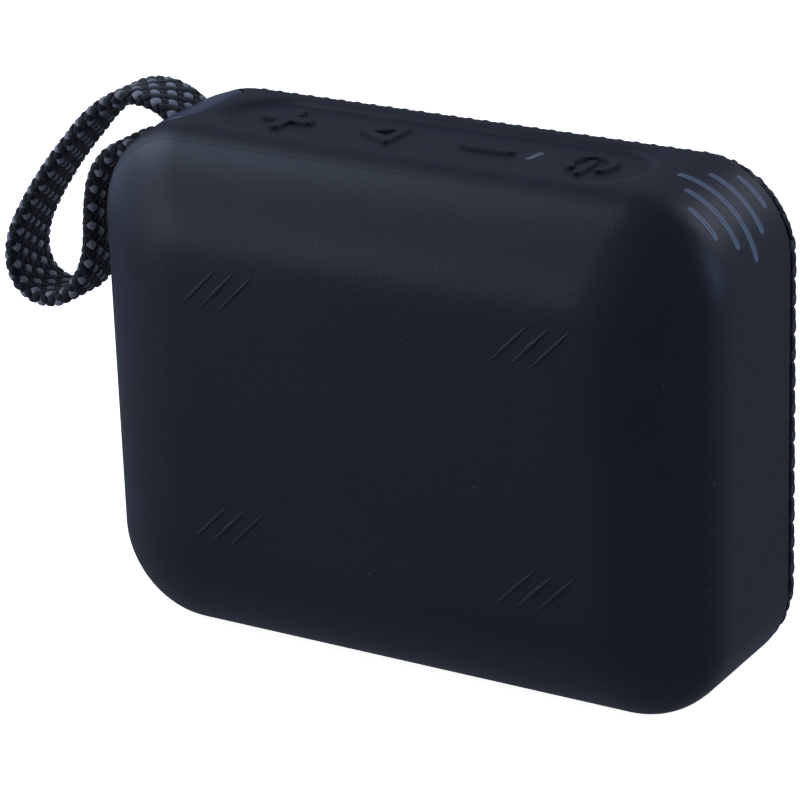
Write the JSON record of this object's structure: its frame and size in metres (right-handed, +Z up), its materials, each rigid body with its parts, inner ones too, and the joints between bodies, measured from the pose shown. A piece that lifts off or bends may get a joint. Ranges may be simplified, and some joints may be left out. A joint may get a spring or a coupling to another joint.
{
  "type": "shower speaker",
  "caption": "Compact rubber-skinned shower speaker with a woven front grille, raised top buttons, a charging port flap and a braided corner strap.",
  "frame": {"origin": "under the middle of the body, on the surface it stands on", "axes": "+Z up, the grille faces -Y, +X towards the strap corner"},
  "size_m": [0.1358, 0.0366, 0.0848],
  "materials": {
    "silicone_skin": "moulded silicone rubber, fine matte grain",
    "button_rubber": "moulded silicone rubber, satin",
    "stripe_ink": "moulded grey-blue inlay, satin",
    "housing_abs": "injection-moulded ABS, fine spark texture",
    "strap_block_pc": "injection-moulded polycarbonate, satin",
    "yarn": "woven polyester yarn",
    "grille_fabric": "chunky woven polyester",
    "steel": "zinc-plated steel",
    "black_steel": "black electrocoated steel",
    "foam": "closed-cell foam",
    "fibreglass": "solder-masked fibreglass board",
    "paper": "pressed paper pulp",
    "copper": "enamelled copper wire",
    "ferrite": "sintered ferrite",
    "foil": "laminated foil pouch",
    "diffuser": "frosted acrylic",
    "butyl": "butyl rubber",
    "wire": "PVC insulation"
  },
  "bodies": {
    "housing": {"baffle_gasket": "foam", "battery_cell": "foil", "battery_lead": "wire", "battery_pad": "foam", "button_board": "fibreglass", "button_board_screw_1": "steel", "button_board_screw_2": "steel", "case_screw_1": "steel", "case_screw_2": "steel", "case_screw_3": "steel", "case_screw_4": "steel", "corner_stripe_1": "stripe_ink", "corner_stripe_2": "stripe_ink", "corner_stripe_3": "stripe_ink", "corner_stripe_4": "stripe_ink", "corner_stripe_5": "stripe_ink", "driver_basket": "black_steel", "driver_magnet": "ferrite", "driver_screw_1": "steel", "driver_screw_2": "steel", "driver_screw_3": "steel", "driver_screw_4": "steel", "driver_spider": "paper", "driver_surround": "butyl", "driver_top_plate": "black_steel", "driver_yoke": "black_steel", "front_baffle": "housing_abs", "grille_fabric": "grille_fabric", "grille_plate": "black_steel", "main_board": "fibreglass", "main_board_screw_1": "steel", "main_board_screw_2": "steel", "main_board_screw_3": "steel", "radiator_frame": "housing_abs", "radiator_surround": "butyl", "rear_housing": "housing_abs", "rubber_skin": "silicone_skin", "speaker_lead": "wire", "status_led": "diffuser", "status_light_pipe": "diffuser", "strap": "yarn", "strap_block": "strap_block_pc", "strap_pin": "steel", "tact_switch_1": "black_steel", "tact_switch_2": "black_steel", "tact_switch_3": "black_steel", "tact_switch_4": "black_steel", "usb_c_socket": "steel"},
    "plus_key": {"plus_button": "button_rubber"},
    "play_key": {"play_button": "button_rubber"},
    "minus_key": {"minus_button": "button_rubber"},
    "power_key": {"power_button": "button_rubber"},
    "cone_assembly": {"driver_cone": "paper", "dust_cap": "paper", "voice_coil": "copper"},
    "radiator_mass": {"radiator_plate": "black_steel", "radiator_weight": "steel"},
    "flap": {"port_flap": "silicone_skin"}
  },
  "joints": [
    {"name": "plus_press", "type": "slide", "parent": "housing", "child": "plus_key", "axis": [0, 0, -1], "range_m": [0, 0.00035], "stiffness_N_per_m": 800},
    {"name": "play_press", "type": "slide", "parent": "housing", "child": "play_key", "axis": [0, 0, -1], "range_m": [0, 0.00035], "stiffness_N_per_m": 800},
    {"name": "minus_press", "type": "slide", "parent": "housing", "child": "minus_key", "axis": [0, 0, -1], "range_m": [0, 0.00035], "stiffness_N_per_m": 800},
    {"name": "power_press", "type": "slide", "parent": "housing", "child": "power_key", "axis": [0, 0, -1], "range_m": [0, 0.00035], "stiffness_N_per_m": 800},
    {"name": "cone_travel", "type": "slide", "parent": "housing", "child": "cone_assembly", "axis": [0, 1, 0], "range_m": [-0.0012, 0.0012], "stiffness_N_per_m": 1500, "deforming": ["driver_surround", "driver_spider"]},
    {"name": "radiator_travel", "type": "slide", "parent": "housing", "child": "radiator_mass", "axis": [0, 1, 0], "range_m": [-0.0015, 0.0015], "stiffness_N_per_m": 1200, "deforming": ["radiator_surround"]},
    {"name": "flap_hinge", "type": "hinge", "parent": "housing", "child": "flap", "pos_m": [0.0533, -0.00275, 0.0247], "axis": [0, 1, 0], "range_deg": [0, 100], "stiffness_Nm_per_rad": 0.0004}
  ]
}
